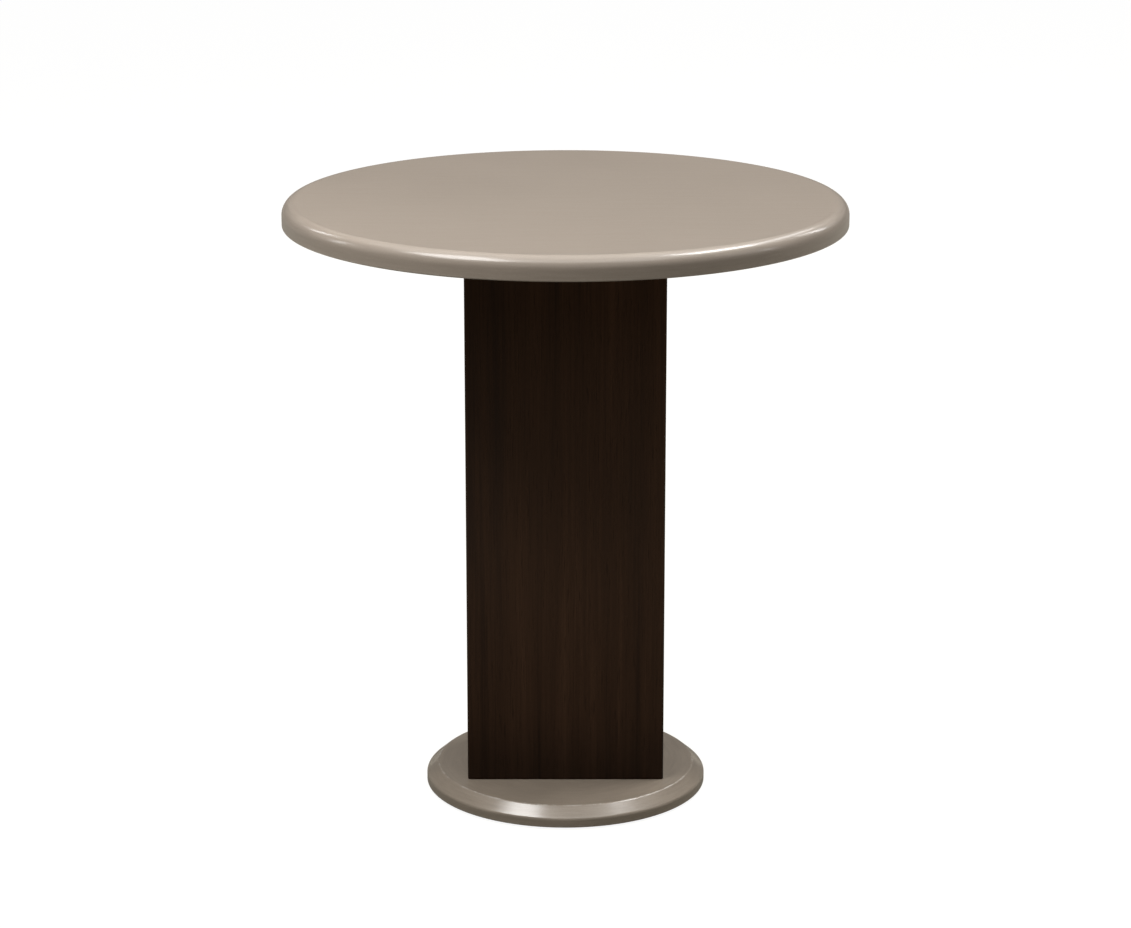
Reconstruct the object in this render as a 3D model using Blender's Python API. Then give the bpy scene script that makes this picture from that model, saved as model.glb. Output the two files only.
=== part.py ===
"""Round side table: lacquered top and base, mitred veneered column, one tie rod and four levelling glides.

Units are metres, +Z is up, the floor is z = 0 and the table's axis is the Z axis. The column's broad
front faces -Y. The rod clamps the base, the column and the plate under the top together; dowel pins
stop them from turning on each other.
"""

import math

import bmesh
import bpy
from mathutils import Matrix, Vector

MM = 0.001

# Overall
TABLE_HEIGHT = 609.6 * MM          # floor to the top's upper face
FIT_GAP = 0.3 * MM                 # between pieces that are glued, pressed, screwed or bolted together

# Table top
TOP_DIAMETER = 558.8 * MM
TOP_THICKNESS = 23.2 * MM
TOP_UPPER_ROUND = 12.3 * MM
TOP_LOWER_ROUND = 1.5 * MM

# Column
COLUMN_WIDTH = 198.4 * MM
COLUMN_DEPTH = 120.6 * MM
COLUMN_EDGE_ROUND = 3.0 * MM
PANEL_THICKNESS = 18.0 * MM
UPPER_BLOCK_HEIGHT = 48.0 * MM
LOWER_BLOCK_HEIGHT = 36.0 * MM
CORNER_BLOCK_LEG = 22.0 * MM

# Base
BASE_DIAMETER = 285.8 * MM
BASE_RIM_HEIGHT = 9.2 * MM         # upright edge below the bevel
BASE_BEVEL_DROP = 10.2 * MM        # height of the bevel
BASE_BEVEL_RUN = 12.0 * MM         # level width of the bevel
BASE_CROWN_ROUND = 3.2 * MM        # where the flat turns into the bevel
BASE_SHOULDER_ROUND = 3.8 * MM     # where the bevel turns into the rim
BASE_LOWER_ROUND = 0.9 * MM

# Plate under the top, and its screws
PLATE_THICKNESS = 4.0 * MM
PLATE_MARGIN = 24.0 * MM           # how far the plate reaches past the column
PLATE_CORNER_ROUND = 14.0 * MM
SCREW_DIAMETER = 4.8 * MM
SCREW_HEAD_DIAMETER = 9.6 * MM
SCREW_TIP_LENGTH = 4.0 * MM
SCREW_COVER = 7.0 * MM             # core left between a screw's tip and the upper face

# Tie rod, its nuts and its washer
ROD_DIAMETER = 12.0 * MM
ROD_CLEARANCE = 0.5 * MM           # round the rod in the base and the lower block
ROD_TAIL = 1.5 * MM                # rod below the nut
ROD_END_COVER = 1.0 * MM           # rod's end up from the underside of the base
ROD_SETBACK = 8.0 * MM             # rod's upper end down from the top of the coupling nut
NUT_WALL = 3.5 * MM                # thread to flat
NUT_THICKNESS = 6.0 * MM
COUPLING_LENGTH = 36.0 * MM
COUPLING_CLEARANCE = 2.0 * MM      # round the coupling nut's corners in the upper block
WASHER_WIDTH = 14.0 * MM           # from its hole to its rim
WASHER_THICKNESS = 3.0 * MM
COUNTERBORE_CLEARANCE = 1.0 * MM   # round the washer

# Dowel pins
PIN_DIAMETER = 8.0 * MM
PIN_INSET = 20.0 * MM              # in from the ends of the column's blocks
PIN_DEPTH_IN_BLOCK = 16.0 * MM
PIN_DEPTH_IN_BASE = 9.0 * MM
PIN_END_CHAMFER = 0.8 * MM

# Levelling glides
GLIDE_COUNT = 4
GLIDE_FIRST_ANGLE = 45.0           # degrees from +X
GLIDE_EDGE_WALL = 9.0 * MM         # between a glide's recess and the base's rim
GLIDE_STANDOFF = 2.0 * MM          # underside of the base above the floor, glides wound in
FOOT_WALL = 5.7 * MM               # nylon round the stud's flange
FOOT_FLOOR = 2.0 * MM              # nylon under the flange
FOOT_LIP = 1.4 * MM                # nylon over the flange
FOOT_LOWER_ROUND = 1.2 * MM
FOOT_UPPER_ROUND = 0.6 * MM
STUD_DIAMETER = 8.0 * MM
STUD_FLANGE_WIDTH = 3.0 * MM       # flange past the stud's neck
STUD_FLANGE_THICKNESS = 2.0 * MM
STUD_TIP_CHAMFER = 0.8 * MM
STUD_HOLE_COVER = 3.0 * MM         # steel left above a tapped hole
COLLAR_WALL = 2.5 * MM             # neck to flat of the hexagon collar
COLLAR_HEIGHT = 3.0 * MM
RECESS_CLEARANCE = 3.0 * MM        # round the foot in the base

# Facets
TOP_FACETS = 120
BASE_FACETS = 80
ROUND_FACETS = 24
SMALL_FACETS = 12
ARC_TOLERANCE = 0.1 * MM           # most that a chord may lie inside its arc
SHARP_ANGLE = math.radians(30)

# Levels, from the floor up
BASE_THICKNESS = BASE_RIM_HEIGHT + BASE_BEVEL_DROP
BASE_TOP = GLIDE_STANDOFF + BASE_THICKNESS
COLUMN_BOTTOM = BASE_TOP + FIT_GAP
TOP_UNDERSIDE = TABLE_HEIGHT - TOP_THICKNESS
COLUMN_TOP = TOP_UNDERSIDE - FIT_GAP
COLUMN_LENGTH = COLUMN_TOP - COLUMN_BOTTOM

# Inside of the column, and what sits in it
INSIDE_X = COLUMN_WIDTH / 2 - PANEL_THICKNESS
INSIDE_Y = COLUMN_DEPTH / 2 - PANEL_THICKNESS
BLOCK_X = INSIDE_X - FIT_GAP
BLOCK_Y = INSIDE_Y - FIT_GAP
PIN_X = BLOCK_X - PIN_INSET

# Rod fittings
ROD_RADIUS = ROD_DIAMETER / 2
NUT_ACROSS_FLATS = ROD_DIAMETER + 2 * NUT_WALL
WASHER_RADIUS = ROD_RADIUS + FIT_GAP + WASHER_WIDTH
COUNTERBORE_DEPTH = ROD_END_COVER + ROD_TAIL + NUT_THICKNESS + WASHER_THICKNESS + 2 * FIT_GAP

# Plate outline and screw places
PLATE_X = COLUMN_WIDTH / 2 + PLATE_MARGIN
PLATE_Y = COLUMN_DEPTH / 2 + PLATE_MARGIN
SCREW_X = COLUMN_WIDTH / 2 + PLATE_MARGIN / 2
SCREW_Y = COLUMN_DEPTH / 2 + PLATE_MARGIN / 2
SCREW_LENGTH = TOP_THICKNESS - SCREW_COVER - FIT_GAP

# Glide stack, from the floor up
STUD_RADIUS = STUD_DIAMETER / 2
FLANGE_RADIUS = STUD_RADIUS + STUD_FLANGE_WIDTH
FLANGE_BOTTOM = FOOT_FLOOR + FIT_GAP
FLANGE_TOP = FLANGE_BOTTOM + STUD_FLANGE_THICKNESS
FOOT_RADIUS = FLANGE_RADIUS + FIT_GAP + FOOT_WALL
FOOT_HEIGHT = FLANGE_TOP + FIT_GAP + FOOT_LIP
RECESS_RADIUS = FOOT_RADIUS + RECESS_CLEARANCE
GLIDE_RADIUS = BASE_DIAMETER / 2 - GLIDE_EDGE_WALL - RECESS_RADIUS
COLLAR_BOTTOM = FOOT_HEIGHT + FIT_GAP
COLLAR_TOP = COLLAR_BOTTOM + COLLAR_HEIGHT
RECESS_CEILING = COLLAR_TOP + FIT_GAP
STUD_HOLE_TOP = BASE_TOP - STUD_HOLE_COVER


def clear_scene():
    for item in list(bpy.data.objects):
        bpy.data.objects.remove(item, do_unlink=True)


def finish(name, colour, roughness, metallic):
    material = bpy.data.materials.new(name)
    material.use_nodes = True
    shader = material.node_tree.nodes["Principled BSDF"]
    shader.inputs["Base Color"].default_value = (*colour, 1.0)
    shader.inputs["Roughness"].default_value = roughness
    shader.inputs["Metallic"].default_value = metallic
    material.diffuse_color = (*colour, 1.0)
    return material


def rounded(corners, closed=True):
    """Turn corner points (x, y, radius) into an outline whose round corners are arcs."""
    points = []
    last = len(corners) - 1
    for index, (x, y, radius) in enumerate(corners):
        corner = Vector((x, y))
        open_end = not closed and index in (0, last)
        if radius == 0 or open_end:
            points.append(corner)
            continue
        before = (Vector(corners[index - 1][:2]) - corner).normalized()
        after = (Vector(corners[(index + 1) % len(corners)][:2]) - corner).normalized()
        half = before.angle(after) / 2
        centre = corner + (before + after).normalized() * radius / math.sin(half)
        spoke = corner + before * radius / math.tan(half) - centre
        turn = math.copysign(math.pi - 2 * half, (-before).cross(after))
        points += arc(centre, spoke, turn)
    return points


def arc(centre, spoke, turn):
    """Points from centre + spoke round through an angle."""
    widest = 2 * math.acos(max(0.0, 1 - ARC_TOLERANCE / spoke.length))
    steps = max(2, math.ceil(abs(turn) / widest))
    return [centre + Matrix.Rotation(turn * step / steps, 2) @ spoke for step in range(steps + 1)]


def rectangle(half_x, half_y, radius=0.0):
    corners = [(half_x, -half_y), (half_x, half_y), (-half_x, half_y), (-half_x, -half_y)]
    return rounded([(x, y, radius) for x, y in corners])


def hexagon(across_flats):
    corner = across_flats / 2 / math.cos(math.pi / 6)
    return [Vector((corner, 0)) @ Matrix.Rotation(math.pi / 3 * side, 2) for side in range(6)]


def add_turned(mesh, profile, facets, closed=False, centre=(0.0, 0.0, 0.0)):
    """Turn a profile of (radius, height) points once round a vertical axis through centre."""
    origin = Vector(centre)
    rim = [mesh.verts.new(origin + Vector((radius, 0, height))) for radius, height in profile]
    pairs = list(zip(rim, rim[1:]))
    if closed:
        pairs.append((rim[-1], rim[0]))
    line = [mesh.edges.new(pair) for pair in pairs]
    bmesh.ops.spin(mesh, geom=rim + line, cent=origin, axis=(0, 0, 1), angle=2 * math.pi,
                   steps=facets, use_merge=True)
    return tidy(mesh)


def add_prism(mesh, outline, low, high, centre=(0.0, 0.0)):
    """Raise a flat outline from one level to another."""
    place = Vector(centre)
    floor = mesh.faces.new([mesh.verts.new((*(point + place), low)) for point in outline])
    raised = bmesh.ops.extrude_face_region(mesh, geom=[floor], use_keep_orig=True)
    lifted = [item for item in raised["geom"] if isinstance(item, bmesh.types.BMVert)]
    bmesh.ops.translate(mesh, verts=lifted, vec=(0, 0, high - low))
    return tidy(mesh)


def add_rod(mesh, radius, low, high, facets, centre=(0.0, 0.0)):
    """A plain round plug between two levels."""
    return add_turned(mesh, [(0, high), (radius, high), (radius, low), (0, low)], facets,
                      centre=(*centre, 0.0))


def tidy(mesh):
    bmesh.ops.remove_doubles(mesh, verts=mesh.verts, dist=FIT_GAP / 100)
    bmesh.ops.recalc_face_normals(mesh, faces=mesh.faces)
    return mesh


def temporary(mesh):
    data = bpy.data.meshes.new("temporary")
    mesh.to_mesh(data)
    mesh.free()
    item = bpy.data.objects.new("temporary", data)
    bpy.context.collection.objects.link(item)
    return item


def combined(body, tool, operation="DIFFERENCE"):
    """Cut one mesh with another, or join the two."""
    body_object = temporary(body)
    tool_object = temporary(tool)
    modifier = body_object.modifiers.new("combine", "BOOLEAN")
    modifier.operation = operation
    modifier.solver = "EXACT"
    modifier.object = tool_object
    result = bmesh.new()
    result.from_object(body_object, bpy.context.evaluated_depsgraph_get())
    for item in (body_object, tool_object):
        bpy.data.objects.remove(item, do_unlink=True)
    return tidy(result)


def solid_mesh(name, mesh, material):
    data = bpy.data.meshes.new(name)
    mesh.to_mesh(data)
    mesh.free()
    data.materials.clear()
    data.materials.append(material)
    data.shade_smooth()
    data.set_sharp_from_angle(angle=SHARP_ANGLE)
    return data


def place(name, data, parent, location=(0.0, 0.0, 0.0), turn=0.0):
    item = bpy.data.objects.new(name, data)
    bpy.context.collection.objects.link(item)
    item.parent = parent
    item.location = location
    item.rotation_euler = (0, 0, turn)
    return item


def datum(name, parent=None, location=(0.0, 0.0, 0.0)):
    """An empty that carries the pieces of one group."""
    return place(name, None, parent, location)


def pin_places():
    return [(PIN_X, 0.0), (-PIN_X, 0.0)]


def screw_places():
    """Corners and middles of the plate's border, outside the column."""
    grid = [(x, y) for y in (-SCREW_Y, 0.0, SCREW_Y) for x in (-SCREW_X, 0.0, SCREW_X)]
    return [spot for spot in grid if spot != (0.0, 0.0)]


def glide_places():
    spots = []
    for index in range(GLIDE_COUNT):
        angle = math.radians(GLIDE_FIRST_ANGLE + 360 / GLIDE_COUNT * index)
        spots.append((GLIDE_RADIUS * math.cos(angle), GLIDE_RADIUS * math.sin(angle)))
    return spots


# Heights in the top's group are measured from the top's underside.

def table_top_mesh():
    radius = TOP_DIAMETER / 2
    profile = rounded([
        (0, TOP_THICKNESS, 0),
        (radius, TOP_THICKNESS, TOP_UPPER_ROUND),
        (radius, 0, TOP_LOWER_ROUND),
        (0, 0, 0),
    ], closed=False)
    body = add_turned(bmesh.new(), profile, TOP_FACETS)
    pocket = rectangle(PLATE_X + FIT_GAP, PLATE_Y + FIT_GAP, PLATE_CORNER_ROUND + FIT_GAP)
    pocket_ceiling = PLATE_THICKNESS + FIT_GAP
    body = combined(body, add_prism(bmesh.new(), pocket, -FIT_GAP, pocket_ceiling))
    pilots = bmesh.new()
    for spot in screw_places():
        add_rod(pilots, SCREW_DIAMETER / 2 + FIT_GAP, PLATE_THICKNESS / 2,
                FIT_GAP + SCREW_LENGTH + FIT_GAP, SMALL_FACETS, spot)
    return combined(body, pilots)


def top_plate_mesh():
    outline = rectangle(PLATE_X, PLATE_Y, PLATE_CORNER_ROUND)
    body = add_prism(bmesh.new(), outline, 0, PLATE_THICKNESS)
    holes = bmesh.new()
    for x, y in screw_places():
        add_turned(holes, screw_hole_profile(), SMALL_FACETS, centre=(x, y, 0))
    for spot in pin_places():
        add_rod(holes, PIN_DIAMETER / 2 + FIT_GAP, -PLATE_THICKNESS, 2 * PLATE_THICKNESS,
                SMALL_FACETS, spot)
    return combined(body, holes)


def screw_hole_profile():
    """Countersunk hole, wider than the screw all round, running past both faces of the plate."""
    shank = SCREW_DIAMETER / 2 + FIT_GAP
    head = SCREW_HEAD_DIAMETER / 2 + FIT_GAP
    cone_top = FIT_GAP + head - shank
    return [
        (0, 2 * PLATE_THICKNESS),
        (shank, 2 * PLATE_THICKNESS),
        (shank, cone_top),
        (head, FIT_GAP),
        (head, -PLATE_THICKNESS),
        (0, -PLATE_THICKNESS),
    ]


def screw_mesh():
    """Countersunk wood screw, point up, with its head's face at height 0."""
    shank = SCREW_DIAMETER / 2
    head = SCREW_HEAD_DIAMETER / 2
    profile = [
        (0, SCREW_LENGTH),
        (shank, SCREW_LENGTH - SCREW_TIP_LENGTH),
        (shank, head - shank),
        (head, 0),
        (0, 0),
    ]
    return add_turned(bmesh.new(), profile, SMALL_FACETS)


def hex_nut_mesh(length, bore_radius):
    """Hexagon nut standing on height 0, its end corners turned off at 30 degrees."""
    flat = NUT_ACROSS_FLATS / 2
    corner = flat / math.cos(math.pi / 6)
    past_corner = 2 * corner - flat
    fall = (past_corner - flat) * math.tan(math.radians(30))
    envelope = [
        (0, length),
        (flat, length),
        (past_corner, length - fall),
        (past_corner, fall),
        (flat, 0),
        (0, 0),
    ]
    body = add_prism(bmesh.new(), hexagon(NUT_ACROSS_FLATS), 0, length)
    body = combined(body, add_turned(bmesh.new(), envelope, ROUND_FACETS), "INTERSECT")
    bore = add_rod(bmesh.new(), bore_radius, -length, 2 * length, ROUND_FACETS)
    return combined(body, bore)


# Heights in the column's group are measured from the column's foot.

def panel_mesh(width, thickness):
    """Mitred panel, its outer face at y = 0 facing -Y, with half of each eased corner."""
    half_width = width / 2
    mitre_shift = FIT_GAP / math.sqrt(2)
    inner = half_width - thickness - mitre_shift
    round_end = math.pi / 4 - math.asin(FIT_GAP / 2 / COLUMN_EDGE_ROUND)
    right = Vector((half_width - COLUMN_EDGE_ROUND, COLUMN_EDGE_ROUND))
    left = Vector((-right.x, right.y))
    down = Vector((0, -COLUMN_EDGE_ROUND))
    outline = [Vector((inner, thickness)), Vector((-inner, thickness))]
    outline += reversed(arc(left, down, -round_end))
    outline += arc(right, down, round_end)
    return add_prism(bmesh.new(), outline, 0, COLUMN_LENGTH)


def corner_block_mesh(length):
    """Triangular glue block with its square corner at the origin, reaching to -X and -Y."""
    outline = [Vector((0, 0)), Vector((-CORNER_BLOCK_LEG, 0)), Vector((0, -CORNER_BLOCK_LEG))]
    return add_prism(bmesh.new(), outline, 0, length)


def upper_block_mesh():
    height = UPPER_BLOCK_HEIGHT
    body = add_prism(bmesh.new(), rectangle(BLOCK_X, BLOCK_Y), 0, height)
    nut_corner = NUT_ACROSS_FLATS / 2 / math.cos(math.pi / 6)
    holes = add_rod(bmesh.new(), nut_corner + COUPLING_CLEARANCE, -height, 2 * height, ROUND_FACETS)
    for spot in pin_places():
        add_rod(holes, PIN_DIAMETER / 2 + FIT_GAP, height - PIN_DEPTH_IN_BLOCK - FIT_GAP, 2 * height,
                SMALL_FACETS, spot)
    return combined(body, holes)


def lower_block_mesh():
    height = LOWER_BLOCK_HEIGHT
    body = add_prism(bmesh.new(), rectangle(BLOCK_X, BLOCK_Y), 0, height)
    holes = add_rod(bmesh.new(), ROD_RADIUS + ROD_CLEARANCE, -height, 2 * height, ROUND_FACETS)
    for spot in pin_places():
        add_rod(holes, PIN_DIAMETER / 2 + FIT_GAP, -height, PIN_DEPTH_IN_BLOCK + FIT_GAP,
                SMALL_FACETS, spot)
    return combined(body, holes)


def pin_mesh(length):
    radius = PIN_DIAMETER / 2
    profile = [
        (0, length),
        (radius - PIN_END_CHAMFER, length),
        (radius, length - PIN_END_CHAMFER),
        (radius, PIN_END_CHAMFER),
        (radius - PIN_END_CHAMFER, 0),
        (0, 0),
    ]
    return add_turned(bmesh.new(), profile, SMALL_FACETS)


def tie_rod_mesh(length):
    return add_rod(bmesh.new(), ROD_RADIUS, 0, length, ROUND_FACETS)


# Heights in the base's group are measured from the base's underside.

def base_disc_mesh():
    """Bevelled disc with its counterbore turned in one profile, then the glide and pin holes."""
    radius = BASE_DIAMETER / 2
    hole = ROD_RADIUS + ROD_CLEARANCE
    counterbore = WASHER_RADIUS + COUNTERBORE_CLEARANCE
    profile = rounded([
        (hole, BASE_THICKNESS, 0),
        (radius - BASE_BEVEL_RUN, BASE_THICKNESS, BASE_CROWN_ROUND),
        (radius, BASE_THICKNESS - BASE_BEVEL_DROP, BASE_SHOULDER_ROUND),
        (radius, 0, BASE_LOWER_ROUND),
        (counterbore, 0, 0),
        (counterbore, COUNTERBORE_DEPTH, 0),
        (hole, COUNTERBORE_DEPTH, 0),
    ])
    body = add_turned(bmesh.new(), profile, BASE_FACETS, closed=True)
    holes = bmesh.new()
    for x, y in glide_places():
        add_turned(holes, glide_hole_profile(), ROUND_FACETS, centre=(x, y, 0))
    for spot in pin_places():
        add_rod(holes, PIN_DIAMETER / 2 + FIT_GAP, BASE_THICKNESS - PIN_DEPTH_IN_BASE - FIT_GAP,
                2 * BASE_THICKNESS, SMALL_FACETS, spot)
    return combined(body, holes)


def glide_hole_profile():
    """Recess for the foot and collar, with the stud's tapped hole above it."""
    tapped = STUD_RADIUS + FIT_GAP
    ceiling = RECESS_CEILING - GLIDE_STANDOFF
    return [
        (0, STUD_HOLE_TOP - GLIDE_STANDOFF),
        (tapped, STUD_HOLE_TOP - GLIDE_STANDOFF),
        (tapped, ceiling),
        (RECESS_RADIUS, ceiling),
        (RECESS_RADIUS, -BASE_THICKNESS),
        (0, -BASE_THICKNESS),
    ]


def washer_mesh():
    hole = ROD_RADIUS + FIT_GAP
    profile = [
        (hole, WASHER_THICKNESS),
        (WASHER_RADIUS, WASHER_THICKNESS),
        (WASHER_RADIUS, 0),
        (hole, 0),
    ]
    return add_turned(bmesh.new(), profile, ROUND_FACETS, closed=True)


# Heights on a glide are measured from the floor.

def glide_foot_mesh():
    """Nylon foot with an undercut socket that the stud's flange snaps into."""
    socket = FLANGE_RADIUS + FIT_GAP
    neck = STUD_RADIUS + FIT_GAP
    profile = rounded([
        (0, FOOT_FLOOR, 0),
        (socket, FOOT_FLOOR, 0),
        (socket, FLANGE_TOP + FIT_GAP, 0),
        (neck, FLANGE_TOP + FIT_GAP, 0),
        (neck, FOOT_HEIGHT, 0),
        (FOOT_RADIUS, FOOT_HEIGHT, FOOT_UPPER_ROUND),
        (FOOT_RADIUS, 0, FOOT_LOWER_ROUND),
        (0, 0, 0),
    ], closed=False)
    return add_turned(bmesh.new(), profile, ROUND_FACETS)


def glide_stud_mesh():
    """Threaded stud with a flange in the foot and a hexagon collar above it."""
    top = STUD_HOLE_TOP - FIT_GAP
    profile = [
        (0, top),
        (STUD_RADIUS - STUD_TIP_CHAMFER, top),
        (STUD_RADIUS, top - STUD_TIP_CHAMFER),
        (STUD_RADIUS, FLANGE_TOP),
        (FLANGE_RADIUS, FLANGE_TOP),
        (FLANGE_RADIUS, FLANGE_BOTTOM),
        (0, FLANGE_BOTTOM),
    ]
    stud = add_turned(bmesh.new(), profile, ROUND_FACETS)
    collar = add_prism(bmesh.new(), hexagon(STUD_DIAMETER + 2 * COLLAR_WALL), COLLAR_BOTTOM, COLLAR_TOP)
    return combined(stud, collar, "UNION")


def build_top(lacquer, steel):
    group = datum("top_group", location=(0, 0, TOP_UNDERSIDE))
    place("table_top", solid_mesh("table_top", table_top_mesh(), lacquer), group)
    place("top_plate", solid_mesh("top_plate", top_plate_mesh(), steel), group)
    screw = solid_mesh("top_plate_screw", screw_mesh(), steel)
    for number, spot in enumerate(screw_places(), 1):
        place(f"top_plate_screw_{number}", screw, group, (*spot, FIT_GAP))
    pin_bottom = -FIT_GAP - PIN_DEPTH_IN_BLOCK
    pin = solid_mesh("top_plate_pin", pin_mesh(PLATE_THICKNESS - pin_bottom), steel)
    for number, spot in enumerate(pin_places(), 1):
        place(f"top_plate_pin_{number}", pin, group, (*spot, pin_bottom))
    nut = solid_mesh("rod_coupling_nut", hex_nut_mesh(COUPLING_LENGTH, ROD_RADIUS + FIT_GAP), steel)
    place("rod_coupling_nut", nut, group, (0, 0, -FIT_GAP - COUPLING_LENGTH))


def build_column(veneer, plywood):
    group = datum("column_group", location=(0, 0, COLUMN_BOTTOM))
    broad = solid_mesh("broad_panel", panel_mesh(COLUMN_WIDTH, PANEL_THICKNESS), veneer)
    narrow = solid_mesh("narrow_panel", panel_mesh(COLUMN_DEPTH, PANEL_THICKNESS), veneer)
    place("column_front_panel", broad, group, (0, -COLUMN_DEPTH / 2, 0))
    place("column_back_panel", broad, group, (0, COLUMN_DEPTH / 2, 0), math.pi)
    place("column_right_panel", narrow, group, (COLUMN_WIDTH / 2, 0, 0), math.pi / 2)
    place("column_left_panel", narrow, group, (-COLUMN_WIDTH / 2, 0, 0), -math.pi / 2)
    place("lower_block", solid_mesh("lower_block", lower_block_mesh(), plywood), group)
    upper_bottom = COLUMN_LENGTH - UPPER_BLOCK_HEIGHT
    place("upper_block", solid_mesh("upper_block", upper_block_mesh(), plywood), group, (0, 0, upper_bottom))
    block_bottom = LOWER_BLOCK_HEIGHT + FIT_GAP
    block_length = upper_bottom - FIT_GAP - block_bottom
    block = solid_mesh("corner_block", corner_block_mesh(block_length), plywood)
    corners = [(BLOCK_X, BLOCK_Y), (-BLOCK_X, BLOCK_Y), (-BLOCK_X, -BLOCK_Y), (BLOCK_X, -BLOCK_Y)]
    for number, (x, y) in enumerate(corners, 1):
        place(f"corner_block_{number}", block, group, (x, y, block_bottom), math.pi / 2 * (number - 1))


def build_base(lacquer, steel):
    group = datum("base_group", location=(0, 0, GLIDE_STANDOFF))
    place("base_disc", solid_mesh("base_disc", base_disc_mesh(), lacquer), group)
    pin_bottom = BASE_THICKNESS - PIN_DEPTH_IN_BASE
    pin_length = PIN_DEPTH_IN_BASE + FIT_GAP + PIN_DEPTH_IN_BLOCK
    pin = solid_mesh("base_pin", pin_mesh(pin_length), steel)
    for number, spot in enumerate(pin_places(), 1):
        place(f"base_pin_{number}", pin, group, (*spot, pin_bottom))
    nut_bottom = ROD_END_COVER + ROD_TAIL
    nut = solid_mesh("tie_rod_nut", hex_nut_mesh(NUT_THICKNESS, ROD_RADIUS + FIT_GAP), steel)
    place("tie_rod_nut", nut, group, (0, 0, nut_bottom))
    washer_bottom = nut_bottom + NUT_THICKNESS + FIT_GAP
    place("tie_rod_washer", solid_mesh("tie_rod_washer", washer_mesh(), steel), group, (0, 0, washer_bottom))
    rod_top = COLUMN_TOP - ROD_SETBACK - GLIDE_STANDOFF
    rod_length = rod_top - ROD_END_COVER
    place("tie_rod", solid_mesh("tie_rod", tie_rod_mesh(rod_length), steel), group, (0, 0, ROD_END_COVER))


def build_glides(nylon, steel):
    foot = solid_mesh("glide_foot", glide_foot_mesh(), nylon)
    stud = solid_mesh("glide_stud", glide_stud_mesh(), steel)
    for number, spot in enumerate(glide_places(), 1):
        axis = datum(f"glide_axis_{number}", location=(*spot, 0))
        place(f"glide_foot_{number}", foot, axis)
        place(f"glide_stud_{number}", stud, axis)


def main():
    clear_scene()
    top_lacquer = finish("taupe_lacquer_top", (0.40, 0.34, 0.29), 0.28, 0.35)
    base_lacquer = finish("taupe_lacquer_base", (0.38, 0.33, 0.28), 0.30, 0.40)
    veneer = finish("espresso_veneer", (0.022, 0.012, 0.007), 0.38, 0.0)
    plywood = finish("plywood", (0.52, 0.37, 0.22), 0.70, 0.0)
    steel = finish("zinc_steel", (0.58, 0.58, 0.57), 0.35, 1.0)
    nylon = finish("black_nylon", (0.02, 0.02, 0.02), 0.50, 0.0)
    build_top(top_lacquer, steel)
    build_column(veneer, plywood)
    build_base(base_lacquer, steel)
    build_glides(nylon, steel)


main()
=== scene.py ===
import math

import bmesh
import bpy
from mathutils import Matrix, Quaternion, Vector


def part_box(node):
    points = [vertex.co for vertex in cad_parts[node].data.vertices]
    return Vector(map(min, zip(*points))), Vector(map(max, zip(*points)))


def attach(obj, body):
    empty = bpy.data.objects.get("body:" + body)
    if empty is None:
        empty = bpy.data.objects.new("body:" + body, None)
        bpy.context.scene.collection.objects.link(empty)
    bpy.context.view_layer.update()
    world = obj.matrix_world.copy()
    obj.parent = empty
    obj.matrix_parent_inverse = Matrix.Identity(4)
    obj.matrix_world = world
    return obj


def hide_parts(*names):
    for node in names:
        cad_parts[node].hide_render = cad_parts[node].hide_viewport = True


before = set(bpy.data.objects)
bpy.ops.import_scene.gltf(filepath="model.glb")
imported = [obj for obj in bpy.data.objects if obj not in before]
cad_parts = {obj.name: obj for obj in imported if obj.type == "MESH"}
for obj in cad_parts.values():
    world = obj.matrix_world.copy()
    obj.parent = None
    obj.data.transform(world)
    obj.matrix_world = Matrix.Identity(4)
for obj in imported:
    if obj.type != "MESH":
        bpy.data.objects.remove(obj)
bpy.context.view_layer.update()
print("frame loaded,", len(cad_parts), "nodes")

mm = 0.001
scene = bpy.context.scene
scene.view_settings.view_transform = "Standard"


# camera at the photograph's viewing angle

cameraView = {
    "place": (0.0, -3.1611, 1.2227),
    "lookDown": 15.643,  # degrees below the horizon
    "lens": 103.64,      # mm, on a sensor this wide
    "sensor": 36.0,
    "clipEnd": 100.0,
}


def buildCamera(view):
    data = bpy.data.cameras.new("camera")
    data.lens = view["lens"]
    data.sensor_width = view["sensor"]
    data.clip_end = view["clipEnd"]
    camera = bpy.data.objects.new("camera", data)
    camera.location = view["place"]
    camera.rotation_euler = (math.radians(90 - view["lookDown"]), 0, 0)
    scene.collection.objects.link(camera)
    scene.camera = camera


buildCamera(cameraView)
print("camera ready")


# node helpers: a value may be a number, a colour or another node's socket

def dress(tree, node, values):
    for name, value in values.items():
        if isinstance(value, bpy.types.NodeSocket):
            tree.links.new(value, node.inputs[name])
        else:
            node.inputs[name].default_value = value


def put(tree, kind, values=None, **settings):
    node = tree.nodes.new("ShaderNode" + kind)
    for name, value in settings.items():
        setattr(node, name, value)
    dress(tree, node, values or {})
    return node


def calc(tree, operation, first, second=0.0):
    return put(tree, "Math", {0: first, 1: second}, operation=operation).outputs[0]


def times(tree, first, second):
    return calc(tree, "MULTIPLY", first, second)


def plus(tree, start, value, share):
    # a start and a share of something that varies
    return calc(tree, "ADD", start, times(tree, value, share))


def swing(tree, value):
    # noise about zero
    return calc(tree, "SUBTRACT", value, 0.5)


def remap(tree, value, low, high, toLow=0.0, toHigh=1.0):
    values = {"Value": value, "From Min": low, "From Max": high, "To Min": toLow, "To Max": toHigh}
    return put(tree, "MapRange", values, interpolation_type="SMOOTHSTEP").outputs["Result"]


def tint(tree, share, first, second, blend="MIX"):
    values = {0: share, 6: first, 7: second}
    return put(tree, "Mix", values, data_type="RGBA", blend_type=blend).outputs[2]


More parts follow.
